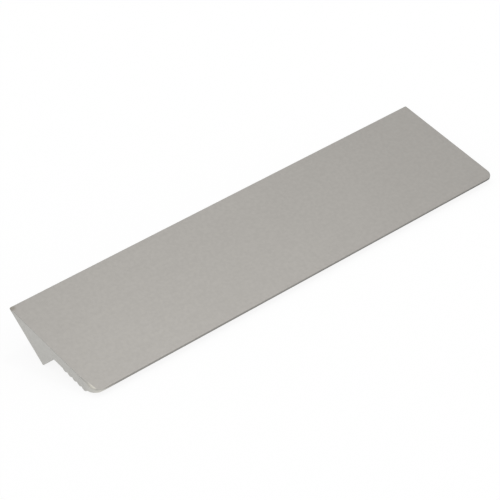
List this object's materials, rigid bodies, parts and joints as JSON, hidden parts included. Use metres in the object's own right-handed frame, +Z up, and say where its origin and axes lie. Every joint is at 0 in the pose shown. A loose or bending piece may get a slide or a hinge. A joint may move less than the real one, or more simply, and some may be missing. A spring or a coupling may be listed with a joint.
{
  "type": "furniture handle",
  "caption": "Extruded aluminium furniture handle: a flat pull lip with finger ribs on a solid wedge that screws to the front of a door or drawer.",
  "frame": {"origin": "centre of the underside of the box of the handle as it lies on its heel and front rib", "axes": "+X along the extrusion, -Y towards the front of the lip, +Z up from the surface it lies on"},
  "size_m": [0.156, 0.0382, 0.0139],
  "materials": {
    "satin_aluminium": "satin anodised, warm grey steel look"
  },
  "bodies": {
    "root": {"handle_profile": "satin_aluminium"}
  },
  "joints": []
}
